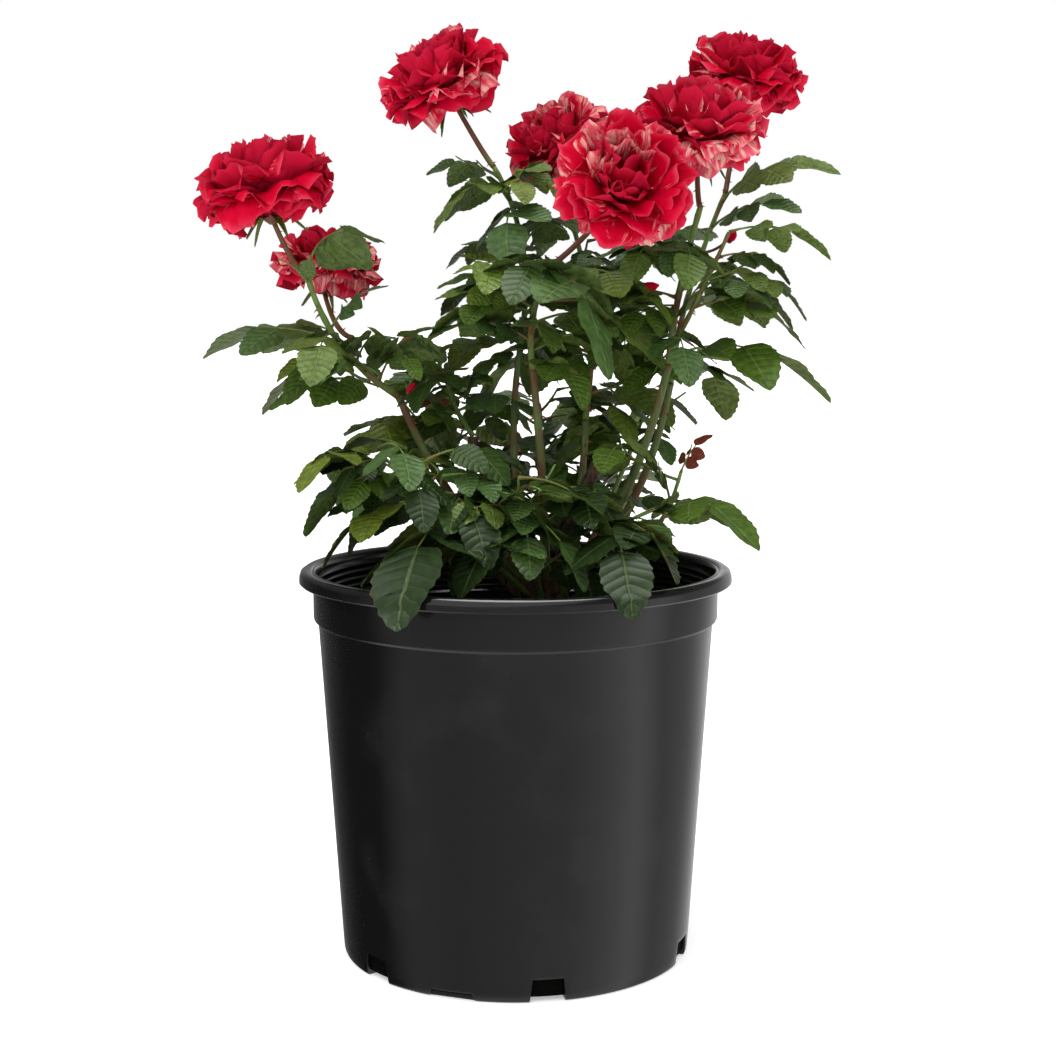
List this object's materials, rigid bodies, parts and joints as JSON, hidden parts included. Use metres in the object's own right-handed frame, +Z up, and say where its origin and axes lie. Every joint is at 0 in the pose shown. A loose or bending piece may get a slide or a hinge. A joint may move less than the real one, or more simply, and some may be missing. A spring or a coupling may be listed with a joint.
{
  "type": "potted rose bush",
  "caption": "Rose bush in a round black nursery pot: thorny green canes from a short woody crown, toothed pinnate leaves and large double red blooms streaked with cream.",
  "frame": {"origin": "centre of the flat underside of the pot, on the surface it stands on", "axes": "+Z up, -Y the side the bush is looked at from, +X to the right seen from there"},
  "size_m": [0.4181, 0.286, 0.607],
  "materials": {
    "pot": "satin",
    "potting_mix": "rough",
    "old_wood": "rough",
    "green_cane": "satin",
    "leaf": "satin",
    "petal": "matt"
  },
  "bodies": {
    "root": {"pot": "pot", "potting_mix": "potting_mix", "crown": "old_wood", "cane_left": "green_cane", "cane_middle": "green_cane", "cane_middle_back": "green_cane", "cane_inner_left": "green_cane", "cane_right_front": "green_cane", "cane_right_back": "green_cane", "old_cane_left": "old_wood", "old_cane_right": "old_wood", "bloom_left": "petal", "bloom_left_low": "petal", "bloom_top_left": "petal", "bloom_middle_back": "petal", "bloom_middle": "petal", "bloom_right": "petal", "bloom_top_right": "petal", "foliage_left_high": "leaf", "foliage_left_low": "leaf", "foliage_inner_left": "leaf", "foliage_middle": "leaf", "foliage_middle_left": "leaf", "foliage_middle_back": "leaf", "foliage_right_front": "leaf", "foliage_right_back": "leaf", "foliage_right_side": "leaf", "foliage_right_low": "leaf", "foliage_base_front": "leaf", "foliage_base_right": "leaf", "foliage_back_left": "leaf", "foliage_back_right": "leaf", "foliage_back_middle": "leaf"}
  },
  "joints": []
}
